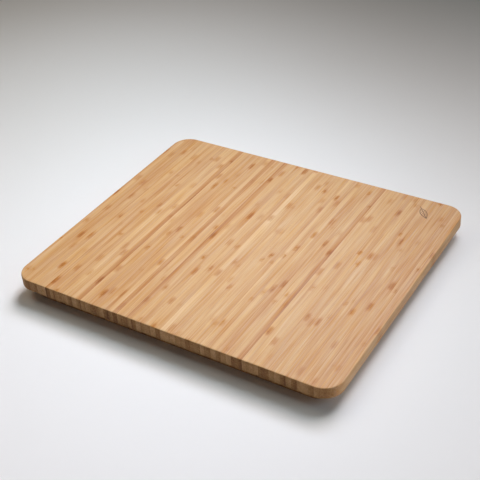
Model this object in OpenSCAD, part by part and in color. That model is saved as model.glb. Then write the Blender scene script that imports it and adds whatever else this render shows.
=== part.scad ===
// Rectangular bamboo cutting board, glued up from strips in two panels.
// The top panel is the working board. The base panel under it is smaller all
// round, which leaves a step for the fingers under every side.
// Every strip stands on edge and runs from front to back.
// The origin is on the resting plane, under the middle of the board.
// +X runs across the strips to the right, +Y along them to the back, +Z up.

/* [Board] */
// Width across the strips, left to right
board_w = 450; // [380:1:520]
// Depth along the strips, front to back
board_d = 385; // [300:1:460]
// Radius of the four upright corners, on both panels
corner_r = 25; // [15:1:45]

/* [Panels] */
// Thickness of the top panel
top_t = 15.5; // [12:0.1:22]
// Thickness of the base panel
base_t = 15.4; // [10:0.1:22]
// How far the base panel is set back from the top panel's sides, all round
step_w = 11.5; // [8:0.5:18]

/* [Strips] */
// Width of a full bamboo strip
strip_w = 6.8; // [6:0.1:9]
// Thickness of the adhesive between strips, and between the panels
glue_t = 0.1; // [0.1:0.05:0.3]

/* [Edges] */
// Rounding on the top panel's upper and lower edges
top_arris_r = 1.5; // [0.5:0.1:3]
// Rounding on the base panel's lower edge
base_arris_r = 1.2; // [0.5:0.1:3]

/* [Hidden] */
$fn = 64;

// An edge strip trimmed thinner than this is left out of the count
least_edge_w = 1.5;
// Nodes for the full strips of each panel: neighbours share one past these
most_top_nodes = 32;
most_base_nodes = 21;

base_w = board_w - 2 * step_w;
base_d = board_d - 2 * step_w;
top_z = base_t + glue_t;

// The top panel has a glue line on its centre, and the base panel has a strip
// there, so that the glue lines of the two panels are staggered.
pitch = strip_w + glue_t;
top_count = 2 * floor((board_w / 2 - least_edge_w) / pitch);
base_count = 2 * floor((base_w / 2 - pitch / 2 - least_edge_w) / pitch) + 1;

// Strips in each node, and nodes in each panel
top_share = ceil(top_count / most_top_nodes);
base_share = ceil(base_count / most_base_nodes);
top_nodes = ceil(top_count / top_share);
base_nodes = ceil(base_count / base_share);

// Bamboo tones, from pale to toasted, taken by the strips in turn
tones = ["#e0b98c", "#d9ad7c", "#cfa06f", "#dcb283", "#c59363"];
// How far the tone moves on from one strip to the next
tone_step = 3;
glue_tone = "#9a6b3f";

// label("top_strips", 4) is "top_strips_04"
function label(stem, n) = str(stem, "_", n < 10 ? "0" : "", n);

// Section through a panel, centred on x, from y = 0 up. Its lower corners
// have the radius low_r and its upper ones high_r, and 0 keeps them square.
module section(w, t, low_r, high_r) {
    difference() {
        translate([-w / 2, 0]) square([w, t]);
        for (side = [-1, 1]) {
            corner_waste(side, w / 2, 0, low_r, 1);
            corner_waste(side, w / 2, t, high_r, -1);
        }
    }
}

// What rounding takes off the corner of a section at [side * half, height].
// up is 1 where the section lies above that corner, and -1 where below.
module corner_waste(side, half, height, r, up) {
    overrun = 1;
    if (r > 0)
        translate([side * (half - r), height + up * r])
            difference() {
                mirror([side < 0 ? 1 : 0, 0])
                    mirror([0, up > 0 ? 1 : 0])
                        square(r + overrun);
                circle(r);
            }
}

// Draws a section out along X, from x0 to x1
module across(x0, x1) {
    translate([x0, 0, 0])
        rotate([90, 0, 90]) linear_extrude(x1 - x0) children();
}

// Draws a section out along Y, from y0 to y1
module along(y0, y1) {
    translate([0, y1, 0])
        rotate([90, 0, 0]) linear_extrude(y1 - y0) children();
}

// A round post with the panel's edge, which closes the panel at one corner
module corner_post(t, low_r, high_r) {
    rotate_extrude()
        intersection() {
            section(2 * corner_r, t, low_r, high_r);
            square([corner_r, t]);
        }
}

// A whole panel before it is cut into strips
module panel(w, d, t, low_r, high_r) {
    post_x = w / 2 - corner_r;
    post_y = d / 2 - corner_r;
    across(-post_x, post_x) section(d, t, low_r, high_r);
    along(-post_y, post_y) section(w, t, low_r, high_r);
    for (x = [-post_x, post_x], y = [-post_y, post_y])
        translate([x, y, 0]) corner_post(t, low_r, high_r);
}

// The slice of a panel between x0 and x1. Where it reaches a rounded corner
// it is cut from the whole panel, and elsewhere it is a straight length.
module slice(x0, x1, w, d, t, low_r, high_r) {
    if (max(abs(x0), abs(x1)) <= w / 2 - corner_r)
        across(x0, x1) section(d, t, low_r, high_r);
    else
        intersection() {
            panel(w, d, t, low_r, high_r);
            translate([x0, -d / 2, 0]) cube([x1 - x0, d, t]);
        }
}

module top_slice(x0, x1) {
    translate([0, 0, top_z])
        slice(x0, x1, board_w, board_d, top_t, top_arris_r, top_arris_r);
}

module base_slice(x0, x1) {
    slice(x0, x1, base_w, base_d, base_t, base_arris_r, 0);
}

// The middle of glue line i, counted from 0 at the left
function top_line(i) = (i - top_count / 2) * pitch;
function base_line(i) = (i - base_count / 2) * pitch;

// A strip lies between two glue lines, less half the adhesive on each side
module top_strip(x0, x1, tone) {
    color(tones[tone % len(tones)]) top_slice(x0, x1);
}

module base_strip(x0, x1, tone) {
    color(tones[tone % len(tones)]) base_slice(x0, x1);
}

// The full strips of top node n, counted from 1
module top_strips(n) {
    for (i = [(n - 1) * top_share : min(n * top_share, top_count) - 1])
        top_strip(top_line(i) + glue_t / 2, top_line(i + 1) - glue_t / 2,
                  tone_step * i);
}

// The full strips of base node n, counted from 1
module base_strips(n) {
    for (i = [(n - 1) * base_share : min(n * base_share, base_count) - 1])
        base_strip(base_line(i) + glue_t / 2, base_line(i + 1) - glue_t / 2,
                   tone_step * i + 1);
}

// The trimmed strips that close each panel at its sides
module top_edge_strip_left() {
    top_strip(-board_w / 2, top_line(0) - glue_t / 2, 2);
}

module top_edge_strip_right() {
    top_strip(top_line(top_count) + glue_t / 2, board_w / 2, 1);
}

module base_edge_strip_left() {
    base_strip(-base_w / 2, base_line(0) - glue_t / 2, 0);
}

module base_edge_strip_right() {
    base_strip(base_line(base_count) + glue_t / 2, base_w / 2, 3);
}

// The adhesive between the strips of each panel, one film at each joint
module top_glue_lines() {
    color(glue_tone)
        for (i = [0 : top_count])
            top_slice(top_line(i) - glue_t / 2, top_line(i) + glue_t / 2);
}

module base_glue_lines() {
    color(glue_tone)
        for (i = [0 : base_count])
            base_slice(base_line(i) - glue_t / 2, base_line(i) + glue_t / 2);
}

// The adhesive between the two panels, as large as the base panel
module panel_glue_layer() {
    color(glue_tone)
        translate([0, 0, base_t]) panel(base_w, base_d, glue_t, 0, 0);
}

top_edge_strip_left();
for (n = [1 : top_nodes])
    top_strips(n);
top_edge_strip_right();
top_glue_lines();
panel_glue_layer();
base_edge_strip_left();
for (n = [1 : base_nodes])
    base_strips(n);
base_edge_strip_right();
base_glue_lines();
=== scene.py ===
"""Visual model of a bamboo cutting board, glued up from strips in two panels.

Every strip is one closed solid. A piece holds the strips of one CAD node, and
carries each strip's own tone, grain and node marks as mesh attributes, which
the bamboo material reads.
"""
import math
import random

import bpy
from mathutils import Matrix, Vector


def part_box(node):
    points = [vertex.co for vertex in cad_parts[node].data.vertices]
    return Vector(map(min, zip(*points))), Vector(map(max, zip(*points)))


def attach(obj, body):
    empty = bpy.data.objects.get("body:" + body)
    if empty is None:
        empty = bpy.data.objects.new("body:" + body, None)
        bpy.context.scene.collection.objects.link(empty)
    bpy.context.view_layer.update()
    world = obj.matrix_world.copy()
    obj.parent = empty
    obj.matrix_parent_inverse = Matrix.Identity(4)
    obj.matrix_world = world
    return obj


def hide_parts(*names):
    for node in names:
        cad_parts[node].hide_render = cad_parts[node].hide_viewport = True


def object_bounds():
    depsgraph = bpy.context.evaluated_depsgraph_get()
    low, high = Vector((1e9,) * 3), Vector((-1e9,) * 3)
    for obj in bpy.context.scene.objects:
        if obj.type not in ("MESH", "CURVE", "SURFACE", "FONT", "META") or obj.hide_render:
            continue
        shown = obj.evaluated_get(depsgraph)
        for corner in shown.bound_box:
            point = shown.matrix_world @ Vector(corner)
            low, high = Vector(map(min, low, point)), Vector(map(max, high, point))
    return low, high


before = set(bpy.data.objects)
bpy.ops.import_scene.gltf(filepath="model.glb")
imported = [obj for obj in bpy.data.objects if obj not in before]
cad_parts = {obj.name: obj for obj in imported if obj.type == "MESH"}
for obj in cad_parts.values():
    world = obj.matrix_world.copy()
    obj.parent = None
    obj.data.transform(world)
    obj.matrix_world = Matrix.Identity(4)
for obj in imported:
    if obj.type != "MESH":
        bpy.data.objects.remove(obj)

CAD_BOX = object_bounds()

# --- Sizes that the node boxes don't give, in metres ---
CORNER_R = 0.025
TOP_ARRIS = 0.0015
BASE_ARRIS = 0.0012
STRIP_PITCH = 0.0069
# Two lengths closer than this are taken as the same
TOUCH = 1e-6
# Millimetres in a metre: the materials work in millimetres
MM = 1000

# --- Steps over an arris, across a strip that a corner cuts, and round the
# corner of an edge strip or a whole panel ---
ARRIS_STEPS = 5
CORNER_STEPS = 8
EDGE_STEPS = 16

# --- Top strips: the left edge strip is 0, and the full strips follow from 1 ---
# Strips that stand out: how much paler (+) or darker (-) each group is
STANDOUTS = (
    (0.20, (33,)),
    (0.10, (12, 14, 22, 41, 49)),
    (-0.08, (2, 3, 45, 61, 62, 63, 64, 65)),
    (-0.20, (15, 23, 26, 48)),
)
TOP_TONES = {strip: tone for tone, strips in STANDOUTS for strip in strips}
# How far the tones of the other top strips stray
TOP_TONE_SPREAD = 0.07
# Where the culm's nodes cross a strip: first one from the back, and the
# distance to the next, in millimetres
TOP_NODES = {
    4: (40, 130), 5: (25, 123), 7: (45, 128), 8: (97, 135), 9: (55, 140),
    10: (119, 132), 12: (35, 150), 13: (110, 160), 14: (50, 116),
    17: (97, 162), 18: (80, 140), 19: (60, 146), 20: (30, 136),
    21: (90, 130), 22: (15, 131), 24: (20, 133), 29: (5, 134),
    30: (70, 132), 31: (10, 125), 32: (75, 131), 33: (131, 132),
    34: (95, 140), 36: (38, 115), 37: (25, 128), 38: (43, 173),
    39: (65, 138), 40: (85, 131), 42: (62, 113), 43: (10, 130),
    45: (115, 131), 46: (20, 130), 47: (123, 140), 48: (51, 114),
    50: (76, 160), 52: (95, 135), 55: (9, 140), 56: (20, 128),
    59: (121, 135), 61: (97, 140), 62: (36, 155),
}
# Where a strip's darker skin side is: -1 at its left, 1 at its right
TOP_SKINS = {15: 0.9, 23: 0.3, 26: -0.9, 33: 0.1, 48: 0.9}
# How lined a strip looks, and how much more so right of LINED_FROM
TOP_LINED = (0.1, 0.6)
MORE_LINED = 0.35
LINED_FROM = -0.02

# --- Base strips, and what both panels share ---
# Standard deviation of the base strips' tones, and how lined they look
BASE_TONE_SPREAD = 0.08
BASE_LINED = (0.1, 0.9)
# Least and most millimetres between nodes, on strips with no place of their own
NODE_GAPS = (118, 160)

# --- Colours, as 0-255 display values at places from dark to pale ---
FACE_STOPS = (
    (0.0, (158, 92, 40)),
    (0.25, (196, 134, 76)),
    (0.5, (216, 168, 113)),
    (0.75, (229, 188, 137)),
    (1.0, (243, 213, 170)),
)
END_GRAIN_STOPS = (
    (0.0, (92, 54, 26)),
    (0.3, (146, 100, 56)),
    (0.6, (184, 138, 88)),
    (1.0, (214, 170, 122)),
)
ADHESIVE_STOPS = (
    (0.2, (146, 102, 62)),
    (0.8, (196, 150, 104)),
)
SCORCH = (88, 55, 32)
# What the bamboo's colours are scaled by, as linear light
ALBEDO = 0.84

# --- The leaf mark ---
# How far right of the middle it is, as a share of the board's width, and how
# far from the back, in metres
LEAF_ACROSS = 0.396
LEAF_FROM_BACK = 0.033
# Its turn in degrees, and its sizes in millimetres
LEAF_TURN = -52
LEAF_HALF_LONG = 12.0
LEAF_HALF_WIDE = 4.2
LEAF_LINE = 0.38
LEAF_RIB_GAP = 3.6

# --- Studio, in metres ---
FLOOR_HALF = 6.0
FLOOR_COLOUR = (0.80, 0.80, 0.795, 1)
SKY_COLOUR = (1.0, 0.98, 0.95, 1)
SENSOR_MM = 36

rng = random.Random(31)


def linear(red, green, blue, scale=1.0):
    """A colour given as 0-255 display values, as linear light."""
    def one(value):
        value /= 255
        if value <= 0.04045:
            return scale * value / 12.92
        return scale * ((value + 0.055) / 1.055) ** 2.4
    return (one(red), one(green), one(blue), 1.0)


def link(name, data):
    """A new object in the scene."""
    made = bpy.data.objects.new(name, data)
    bpy.context.scene.collection.objects.link(made)
    return made


# --- Geometry ---
class Panel:
    """A board with rounded corners, cut square across X into slices."""

    def __init__(self, half_w, half_d, z0, z1, low_r, high_r):
        self.half_w = half_w
        self.half_d = half_d
        self.levels = self.arris(z0, low_r, -1) + self.arris(z1, high_r, 1)

    @staticmethod
    def arris(z, radius, up):
        """Levels of one arris from below: height, inset, and the normal's tilt."""
        if radius == 0:
            return [(z, 0.0, 0.0)]
        made = []
        for k in range(ARRIS_STEPS + 1):
            tilt = math.radians(90) * k / ARRIS_STEPS
            inset = radius * (1 - math.cos(tilt))
            made.append((z - up * radius * (1 - math.sin(tilt)), inset, up * tilt))
        return made if up > 0 else made[::-1]

    def corner(self, side, start, inset):
        """Outline points (x, depth, normal) round a corner, from left to right."""
        reach = CORNER_R - inset
        points = []
        for k in range(EDGE_STEPS + 1):
            turn = start + (math.pi / 2 - start) * k / EDGE_STEPS
            points.append((side * (self.half_w - CORNER_R + reach * math.sin(turn)),
                           self.half_d - CORNER_R + reach * math.cos(turn),
                           side * math.sin(turn), math.cos(turn)))
        return points if side > 0 else points[::-1]

    def front(self, x0, x1, inset):
        """Outline points (x, depth, normal) from x0 to x1."""
        post = self.half_w - CORNER_R
        reach = CORNER_R - inset
        if x1 - x0 > self.half_w:
            return self.corner(-1, 0.0, inset) + self.corner(1, 0.0, inset)
        if x1 > self.half_w - TOUCH:
            return self.corner(1, math.asin((x0 - post) / reach), inset)
        if x0 < TOUCH - self.half_w:
            return self.corner(-1, math.asin((-x1 - post) / reach), inset)
        steps = 1 if max(-x0, x1) <= post else CORNER_STEPS
        points = []
        for k in range(steps + 1):
            x = x0 + (x1 - x0) * k / steps
            turn = math.asin(max(abs(x) - post, 0.0) / reach)
            points.append((x, self.half_d - CORNER_R + reach * math.cos(turn),
                           math.copysign(math.sin(turn), x), math.cos(turn)))
        return points

    def ring(self, x0, x1, level):
        """A slice's outline at one level, as (place, normal) pairs."""
        z, inset, tilt = level
        flat, rise = math.cos(tilt), math.sin(tilt)
        front = self.front(x0, x1, inset)
        near = [((x, -y, z), (nx * flat, -ny * flat, rise)) for x, y, nx, ny in front]
        far = [((x, y, z), (nx * flat, ny * flat, rise)) for x, y, nx, ny in front]
        return near + far[::-1]

    def side_normal(self, side, x, tilt):
        """The normal on the flat side of a slice at x, facing side, -1 or 1."""
        if abs(x) > self.half_w - TOUCH:
            return (side * math.cos(tilt), 0, math.sin(tilt))
        return (side, 0, 0)


class Solids:
    """Closed solids gathered into one mesh, with normals and attributes."""

    def __init__(self):
        self.points, self.faces, self.normals, self.traits = [], [], [], []

    def add_slice(self, panel, x0, x1, traits=None):
        """The slice of a panel between x0 and x1."""
        start = len(self.points)
        rings = [panel.ring(x0, x1, level) for level in panel.levels]
        self.points += [place for ring in rings for place, _ in ring]
        count = len(rings[0])
        # The outline's two flat sides, by the point that each one starts from
        sides = {count // 2 - 1: (1, x1), count - 1: (-1, x0)}
        for i in range(len(rings) - 1):
            for j in range(count):
                k = (j + 1) % count
                corners = [(i, j), (i, k), (i + 1, k), (i + 1, j)]
                self.faces.append([start + a * count + b for a, b in corners])
                if j in sides:
                    self.normals += [panel.side_normal(*sides[j], panel.levels[a][2])
                                     for a, _ in corners]
                else:
                    self.normals += [rings[a][b][1] for a, b in corners]
        last = start + (len(rings) - 1) * count
        self.faces.append(list(range(start + count - 1, start - 1, -1)))
        self.faces.append(list(range(last, last + count)))
        self.normals += [(0, 0, -1)] * count + [(0, 0, 1)] * count
        self.traits += [traits] * (len(self.points) - start)

    def make(self, name, node, material):
        """The piece that stands for a CAD node."""
        mesh = bpy.data.meshes.new(name)
        mesh.from_pydata(self.points, [], self.faces)
        mesh.polygons.foreach_set("use_smooth", [True] * len(self.faces))
        mesh.normals_split_custom_set(self.normals)
        if self.traits[0] is not None:
            for key in self.traits[0]:
                values = [v for t in self.traits for v in t[key]]
                layer = mesh.attributes.new(key, "FLOAT_VECTOR", "POINT")
                layer.data.foreach_set("vector", values)
        mesh.materials.append(material)
        piece = link(name, mesh)
        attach(piece, "root")
        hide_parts(node)


# --- Strips ---
def strip_traits(x0, x1, tone, marks, lined, skin=None):
    """What the bamboo material needs to know about one strip."""
    first, gap = marks
    side = rng.choice((-1, 1)) * rng.uniform(0.3, 1)
    return {
        "strip_look": (rng.uniform(0, 10), tone, lined),
        "strip_marks": (first, gap, rng.uniform(0.5, 1.0)),
        "strip_shape": (MM * (x0 + x1) / 2, side if skin is None else skin,
                        rng.uniform(-1, 1)),
    }


def random_marks():
    """Millimetres from the back to the first node, and from node to node."""
    gap = rng.uniform(*NODE_GAPS)
    return (rng.uniform(0, gap), gap)


def top_traits(index, x0, x1):
    tone = TOP_TONES.get(index, rng.uniform(-TOP_TONE_SPREAD, TOP_TONE_SPREAD))
    marks = TOP_NODES.get(index, random_marks())
    lined = rng.uniform(*TOP_LINED) + (MORE_LINED if x0 > LINED_FROM else 0)
    return strip_traits(x0, x1, tone, marks, lined, TOP_SKINS.get(index))


def base_traits(_, x0, x1):
    tone = rng.gauss(0, BASE_TONE_SPREAD)
    marks = random_marks()
    return strip_traits(x0, x1, tone, marks, rng.uniform(*BASE_LINED))


def split(node, glue):
    """The (x0, x1) of each strip in a CAD node."""
    low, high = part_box(node)
    count = max(1, round((high.x - low.x + glue) / STRIP_PITCH))
    width = (high.x - low.x + glue) / count
    return [(low.x + width * i, low.x + width * (i + 1) - glue) for i in range(count)]


def strip_nodes(stem):
    """The CAD nodes that hold a panel's strips, from left to right."""
    full = sorted(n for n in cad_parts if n.startswith(stem + "_strips_"))
    return [stem + "_edge_strip_left", *full, stem + "_edge_strip_right"]


# --- Materials ---
class Shader:
    """One material, with short ways to add nodes to it."""

    def __init__(self, name):
        self.material = bpy.data.materials.new(name)
        self.material.use_nodes = True
        self.tree = self.material.node_tree
        self.surface = self.tree.nodes["Principled BSDF"]

    def add(self, kind, sockets=(), **settings):
        made = self.tree.nodes.new("ShaderNode" + kind)
        for key, value in settings.items():
            setattr(made, key, value)
        for key, value in dict(sockets).items():
            self.feed(made.inputs[key], value)
        return made

    def feed(self, socket, value):
        if isinstance(value, bpy.types.NodeSocket):
            self.tree.links.new(value, socket)
        else:
            socket.default_value = value

    def surfaced(self, specular, **sockets):
        """Feeds the surface's own sockets, and gives back the material."""
        self.feed(self.surface.inputs["Specular IOR Level"], specular)
        for key, value in sockets.items():
            self.feed(self.surface.inputs[key.replace("_", " ")], value)
        return self.material

    def math(self, operation, *values):
        sockets = dict(enumerate(values))
        return self.add("Math", sockets, operation=operation).outputs[0]

    def vector(self, operation, *values):
        sockets = dict(enumerate(values))
        return self.add("VectorMath", sockets, operation=operation).outputs[0]

    def scale(self, vector, factor):
        sockets = {0: vector, "Scale": factor}
        return self.add("VectorMath", sockets, operation="SCALE").outputs[0]

    def length(self, vector):
        made = self.add("VectorMath", {0: vector}, operation="LENGTH")
        return made.outputs["Value"]

    def join(self, x, y, z):
        return self.add("CombineXYZ", {0: x, 1: y, 2: z}).outputs[0]

    def parts(self, vector):
        return tuple(self.add("SeparateXYZ", {0: vector}).outputs)

    def trait(self, name):
        return self.parts(self.add("Attribute", attribute_name=name).outputs["Vector"])

    def noise(self, place, stretch, detail=2.0):
        """Noise from -0.5 to 0.5; stretch is in features per millimetre."""
        scaled = self.vector("MULTIPLY", place, stretch)
        made = self.add("TexNoise", {"Vector": scaled, "Scale": 1.0, "Detail": detail})
        return self.less(made.outputs["Fac"], 0.5)

    def fade(self, value, nothing, full):
        """0 where value is at nothing, and 1 where it is at full."""
        low, high = sorted((nothing, full))
        sockets = {"Value": value, "From Min": low, "From Max": high}
        made = self.add("MapRange", sockets, interpolation_type="SMOOTHSTEP")
        result = made.outputs["Result"]
        return result if nothing < full else self.less(1.0, result)

    def less(self, value, taken):
        return self.math("SUBTRACT", value, taken)

    def size(self, value):
        return self.math("ABSOLUTE", value)

    def total(self, *terms):
        result = terms[0]
        for term in terms[1:]:
            result = self.math("ADD", result, term)
        return result

    def times(self, *factors):
        result = factors[0]
        for factor in factors[1:]:
            result = self.math("MULTIPLY", result, factor)
        return result

    def weigh(self, start, *terms):
        """start and each term together, where a term is factors to multiply."""
        return self.total(start, *(self.times(*term) for term in terms))

    def ramp(self, value, stops, scale=1.0):
        """The colour at value among stops of (place, display colour)."""
        made = self.add("ValToRGB", {"Fac": value})
        elements = made.color_ramp.elements
        while len(elements) < len(stops):
            elements.new(0.5)
        for element, (position, colour) in zip(elements, stops):
            element.position = position
            element.color = linear(*colour, scale)
        return made.outputs["Color"]

    def mix(self, factor, a, b):
        made = self.add("Mix", data_type="RGBA")
        for key, value in zip((0, 6, 7), (factor, a, b)):
            self.feed(made.inputs[key], value)
        return made.outputs[2]

    def bump(self, height, strength, distance):
        sockets = {"Height": height, "Strength": strength, "Distance": distance}
        return self.add("Bump", sockets).outputs["Normal"]


class Bamboo(Shader):
    """Bamboo on edge: grain along Y, node marks, and dots on the end grain.

    Places and lengths in it are in millimetres. Weights say how far each thing
    moves a shade, which goes from 0 for dark to 1 for pale.
    """

    def __init__(self, name, back_edge):
        super().__init__(name)
        self.add_place()
        self.add_grain()
        self.add_marks(back_edge * MM)

    def add_place(self):
        """Where a point is on the board, across its strip, and in its grain."""
        coords = self.add("TexCoord")
        place = self.scale(coords.outputs["Object"], MM)
        self.x, self.y, _ = self.parts(place)
        _, facing_y, self.facing_z = self.parts(coords.outputs["Normal"])
        self.is_end = self.fade(self.size(facing_y), 0.35, 0.9)
        self.seed, self.tone, self.lined = self.trait("strip_look")
        self.first, self.gap, self.marked = self.trait("strip_marks")
        middle, self.skin_side, self.tail = self.trait("strip_shape")
        # The seed moves each strip to a part of the grain that is its own
        offset = self.scale(self.join(130.0, 710.0, 370.0), self.seed)
        self.own = self.vector("ADD", place, offset)
        # From -1 to 1 over the strip's width, and over it towards its skin side
        self.across = self.times(self.less(self.x, middle), 2 / (STRIP_PITCH * MM))
        self.to_skin = self.times(self.across, self.skin_side)

    def add_grain(self):
        """Streaks along Y, and the vascular bundles."""
        self.broad = self.noise(self.own, (0.38, 0.011, 0.38))
        self.fine = self.noise(self.own, (1.5, 0.022, 1.5), 3.0)
        self.slow = self.noise(self.own, (0.05, 0.012, 0.05), 1.0)
        self.sappy = self.noise(self.own, (0.45, 0.018, 0.45), 1.0)
        self.blotch = self.noise(self.own, (0.3, 0.22, 0.3))
        # Bundles are rods along Y, so lines on a face and dots on an end
        rods = self.add("TexVoronoi", {
            "Vector": self.vector("MULTIPLY", self.own, (1.05, 0.012, 1.05)),
            "Scale": 1.0,
        })
        self.bundle = self.fade(rods.outputs["Distance"], 0.42, 0.12)
        self.crowded = self.fade(self.to_skin, -0.9, 0.8)

    def add_marks(self, back_edge):
        """A node mark at every gap along the strip, each with its own chances."""
        turns = self.math("DIVIDE", self.less(self.less(back_edge, self.y), self.first),
                          self.gap)
        which = self.math("ROUND", turns)
        past = self.times(self.less(turns, which), self.gap)
        own_chance = self.add("TexWhiteNoise", {
            "Vector": self.join(which, self.times(self.seed, 17.3), 0.5),
        }, noise_dimensions="3D")
        chance_a, chance_b, self.chance_c = self.parts(own_chance.outputs["Color"])
        strength = self.times(self.marked, self.weigh(0.2, (chance_a, chance_a, 0.85)))

        aside = self.less(self.across, self.times(self.less(chance_b, 0.5), 0.8))
        long = self.weigh(4.0, (self.chance_c, self.chance_c, 9.0))
        thin = self.weigh(0.6, (chance_b, 0.5))
        wavy = self.weigh(past, (self.blotch, 12.0))
        away = self.length(self.join(self.math("DIVIDE", wavy, long),
                                     self.times(aside, thin), 0.0))
        soft_spot = self.weigh(self.fade(away, 1.3, 0.2),
                               (self.fade(away, 0.6, 0.1), 0.35))
        self.spot = self.times(soft_spot, strength)
        self.band = self.fade(self.size(past), 10.0, 4.0)
        run = self.times(past, self.math("SIGN", self.tail))
        self.trail = self.times(self.fade(run, 70.0, 4.0), self.fade(run, 0.0, 3.0),
                                self.fade(self.size(aside), 0.75, 0.1),
                                self.fade(self.size(self.tail), 0.55, 1.0), strength)

    def face_colour(self):
        """The long faces, shaded round the strip's own tone."""
        off_side = self.size(self.weigh(self.across, (self.skin_side, 0.4)))
        paler = self.times(self.math("MAXIMUM", self.tone, 0.0),
                           self.less(1.0, self.band),
                           self.weigh(0.5, (self.fade(off_side, 1.4, 0.5), 0.7)))
        darker = self.times(self.math("MINIMUM", self.tone, 0.0),
                            self.weigh(1.0, (self.to_skin, 0.45)))
        ringed = self.weigh(0.01, (self.fade(self.chance_c, 0.45, 0.8), 0.07))
        shade = self.weigh(
            self.total(0.5, paler, darker),
            (self.broad, 0.40),
            (self.fine, self.weigh(0.2, (self.lined, 0.62))),
            (self.slow, 0.26),
            (self.to_skin, -0.045),
            (self.bundle, self.crowded, self.weigh(0.02, (self.lined, 0.12)), -1.0),
            (self.spot, -0.26),
            (self.band, ringed, -1.0),
            (self.trail, -0.2),
        )
        return self.add("HueSaturation", {
            "Hue": self.weigh(0.5, (self.blotch, 0.012)),
            "Saturation": self.weigh(1.0, (self.sappy, 0.38), (self.spot, 0.1)),
            "Color": self.ramp(shade, FACE_STOPS, ALBEDO),
        }).outputs["Color"]

    def end_colour(self):
        """The end grain, which varies more from strip to strip."""
        own_end = self.add("TexWhiteNoise", {"W": self.times(self.seed, 7.9)},
                           noise_dimensions="1D")
        end_tone = self.less(own_end.outputs["Value"], 0.5)
        shade = self.weigh(
            0.56,
            (self.tone, 0.6),
            (end_tone, 0.52),
            (self.broad, 0.5),
            (self.fine, 0.5),
            (self.to_skin, -0.12),
            (self.fade(self.to_skin, 0.5, 0.95), -0.28),
            (self.bundle, self.weigh(0.12, (self.crowded, 0.25)), -1.0),
        )
        return self.ramp(shade, END_GRAIN_STOPS, ALBEDO)

    def leaf(self, centre_x, centre_y):
        """How strongly a small plain leaf, in thin lines, is burnt in here."""
        over = self.less(self.x, centre_x * MM)
        up = self.less(self.y, centre_y * MM)
        turn = math.radians(LEAF_TURN)
        cos, sin = math.cos(turn), math.sin(turn)
        along = self.total(self.times(over, cos), self.times(up, sin))
        aside = self.size(self.less(self.times(up, cos), self.times(over, sin)))
        share = self.times(along, 1 / LEAF_HALF_LONG)
        swell = self.less(1.0, self.math("POWER", self.size(share), 2.0))
        edge = self.times(swell, self.weigh(1.0, (share, -0.25)), LEAF_HALF_WIDE)
        beyond = self.less(aside, edge)
        within = self.fade(self.size(share), 1.06, 1.0)
        inside = self.times(within, self.fade(beyond, 0.3, -0.1))
        outline = self.times(within, self.fade(self.size(beyond), 2 * LEAF_LINE, LEAF_LINE))
        vein = self.times(self.fade(aside, 2 * LEAF_LINE, 0.6 * LEAF_LINE),
                          self.fade(share, 1.0, 0.95), self.fade(share, -1.45, -1.35))
        slant = self.math("FRACT", self.times(self.less(along, aside), 1 / LEAF_RIB_GAP))
        ribs = self.times(self.fade(self.size(self.less(slant, 0.5)), 0.16, 0.06), inside)
        drawn = self.math("MAXIMUM", self.math("MAXIMUM", outline, vein), ribs)
        worn = self.weigh(0.8, (self.blotch, 0.8))
        return self.times(drawn, worn, self.fade(self.facing_z, 0.9, 0.99))

    def dressed(self, colour):
        """The material, with the grain in its roughness and bump as well."""
        rough = self.weigh(0.5, (self.fine, 0.18), (self.bundle, 0.05),
                           (self.spot, 0.06), (self.is_end, 0.22))
        height = self.total(self.times(self.fine, 0.6), self.times(self.bundle, -0.5),
                            self.times(self.broad, 0.5))
        return self.surfaced(0.32, Base_Color=colour, Roughness=rough,
                             Normal=self.bump(height, 0.25, 0.0002))


def bamboo(name, back_edge, leaf_at=None):
    """Bamboo, with the leaf mark on it if that has a place."""
    s = Bamboo(name, back_edge)
    colour = s.mix(s.is_end, s.face_colour(), s.end_colour())
    if leaf_at is not None:
        colour = s.mix(s.leaf(*leaf_at), colour, linear(*SCORCH))
    return s.dressed(colour)


def adhesive(name):
    """Hardened glue between the strips: amber, a little uneven along its run."""
    s = Shader(name)
    place = s.scale(s.add("TexCoord").outputs["Object"], MM)
    uneven = s.noise(place, (0.15, 0.05, 0.3))
    speckle = s.noise(place, (0.8, 0.4, 0.8), 3.0)
    shade = s.weigh(0.5, (uneven, 1.2), (speckle, 0.4))
    return s.surfaced(0.35, Base_Color=s.ramp(shade, ADHESIVE_STOPS),
                      Roughness=s.weigh(0.45, (speckle, 0.2)),
                      Normal=s.bump(speckle, 0.2, 0.0001))


# --- The board ---
def build_strips(stem, panel, glue, material, traits_of):
    """A piece for each CAD node that holds a panel's strips."""
    index = 0
    for node in strip_nodes(stem):
        solids = Solids()
        for x0, x1 in split(node, glue):
            solids.add_slice(panel, x0, x1, traits_of(index, x0, x1))
            index += 1
        solids.make(node + "_wood", node, material)


def build_glue_lines(stem, panel, glue, material):
    """A film after every strip of a panel but the last."""
    solids = Solids()
    for node in strip_nodes(stem)[:-1]:
        for _, x1 in split(node, glue):
            solids.add_slice(panel, x1, x1 + glue)
    node = stem + "_glue_lines"
    solids.make(node + "_film", node, material)


def build_glue_layer(layer, material):
    """The film between the two panels."""
    solids = Solids()
    solids.add_slice(layer, -layer.half_w, layer.half_w)
    solids.make("panel_glue_layer_film", "panel_glue_layer", material)


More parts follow.
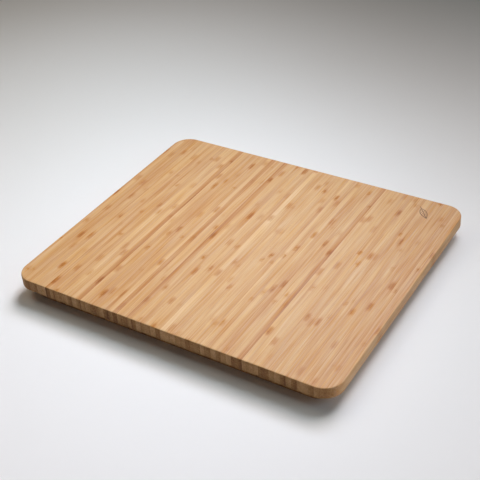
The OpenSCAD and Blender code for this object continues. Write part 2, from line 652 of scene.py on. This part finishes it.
def build_board():
    low, high = CAD_BOX
    base_low, base_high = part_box("panel_glue_layer")
    glue = base_high.z - base_low.z
    top = Panel(high.x, high.y, base_high.z, high.z, TOP_ARRIS, TOP_ARRIS)
    base = Panel(base_high.x, base_high.y, low.z, base_low.z, BASE_ARRIS, 0)
    layer = Panel(base_high.x, base_high.y, base_low.z, base_high.z, 0, 0)

    leaf_at = (LEAF_ACROSS * 2 * high.x, high.y - LEAF_FROM_BACK)
    top_wood = bamboo("top_bamboo", high.y, leaf_at)
    base_wood = bamboo("base_bamboo", base_high.y)
    hardened = adhesive("adhesive")

    build_strips("top", top, glue, top_wood, top_traits)
    build_strips("base", base, glue, base_wood, base_traits)
    build_glue_lines("top", top, glue, hardened)
    build_glue_lines("base", base, glue, hardened)
    build_glue_layer(layer, hardened)


# --- Studio ---
def floor():
    s = Shader("pale_floor")
    mesh = bpy.data.meshes.new("floor")
    corners = [(x * FLOOR_HALF, y * FLOOR_HALF, 0)
               for x, y in ((-1, -1), (1, -1), (1, 1), (-1, 1))]
    mesh.from_pydata(corners, [], [(0, 1, 2, 3)])
    mesh.materials.append(s.surfaced(0.15, Base_Color=FLOOR_COLOUR, Roughness=0.85))
    made = link("floor", mesh)


def softbox(name, at, aim, size, spread, watts, tint):
    """A soft rectangular light at one point, turned towards another."""
    light = bpy.data.lights.new(name, "AREA")
    light.shape = "RECTANGLE"
    light.size, light.size_y = size
    light.energy = watts
    light.color = tint
    light.spread = math.radians(spread)
    made = link(name, light)
    made.location = at
    made.rotation_euler = (Vector(aim) - Vector(at)).to_track_quat("-Z", "Y").to_euler()


def sky(strength):
    world = bpy.data.worlds.new("studio")
    world.use_nodes = True
    background = world.node_tree.nodes["Background"]
    background.inputs["Color"].default_value = SKY_COLOUR
    background.inputs["Strength"].default_value = strength
    bpy.context.scene.world = world


def camera(at, heading, pitch, roll, lens):
    """A camera that looks heading degrees round from +Y, and pitch degrees up."""
    data = bpy.data.cameras.new("camera")
    data.lens, data.sensor_width = lens, SENSOR_MM
    data.clip_start, data.clip_end = 0.05, 50
    made = link("camera", data)
    turn = (Matrix.Rotation(math.radians(-heading), 4, "Z")
            @ Matrix.Rotation(math.radians(90 + pitch), 4, "X")
            @ Matrix.Rotation(math.radians(roll), 4, "Z"))
    made.matrix_world = Matrix.Translation(at) @ turn
    bpy.context.scene.camera = made


build_board()
floor()
# From behind: one large light, and three small ones that shape the shadow
softbox("key", at=(0.1, 1.007, 1.611), aim=(0.03, -0.35, 0), size=(1.7, 1.3),
        spread=45, watts=5.35, tint=(1.0, 0.92, 0.92))
softbox("key_back", at=(0, 0.651, 1.462), aim=(-0.25, 0.1, 0), size=(0.9, 0.4),
        spread=40, watts=0.62, tint=(0.66, 0.87, 1.0))
softbox("key_left", at=(-0.368, 0.788, 0.966), aim=(0, -0.15, 0), size=(0.41, 0.28),
        spread=50, watts=0.35, tint=(0.91, 0.91, 1.0))
softbox("key_near", at=(0, 0.870, 0.966), aim=(0.05, -0.6, 0), size=(0.41, 0.28),
        spread=50, watts=0.48, tint=(0.58, 0.75, 1.0))
# From both sides and the front: warm at the left, and cool at the right
softbox("fill_left", at=(-1.3, 0, 1.7), aim=(0, 0, 0), size=(0.9, 0.9),
        spread=180, watts=7.4, tint=(1.0, 0.88, 0.7))
softbox("fill_right", at=(1.5, 0, 1.1), aim=(0, 0, 0), size=(0.9, 0.9),
        spread=180, watts=5.2, tint=(0.7, 0.89, 1.0))
softbox("fill_front", at=(1.33, -1.33, 0.26), aim=(0, 0, 0), size=(0.9, 0.35),
        spread=180, watts=2.3, tint=(1.0, 0.92, 0.9))
sky(strength=0.045)
camera(at=(0.5639, -0.8609, 0.7761), heading=-33.58, pitch=-35.78, roll=-4.145,
       lens=74.2)
bpy.context.scene.view_settings.view_transform = "Standard"
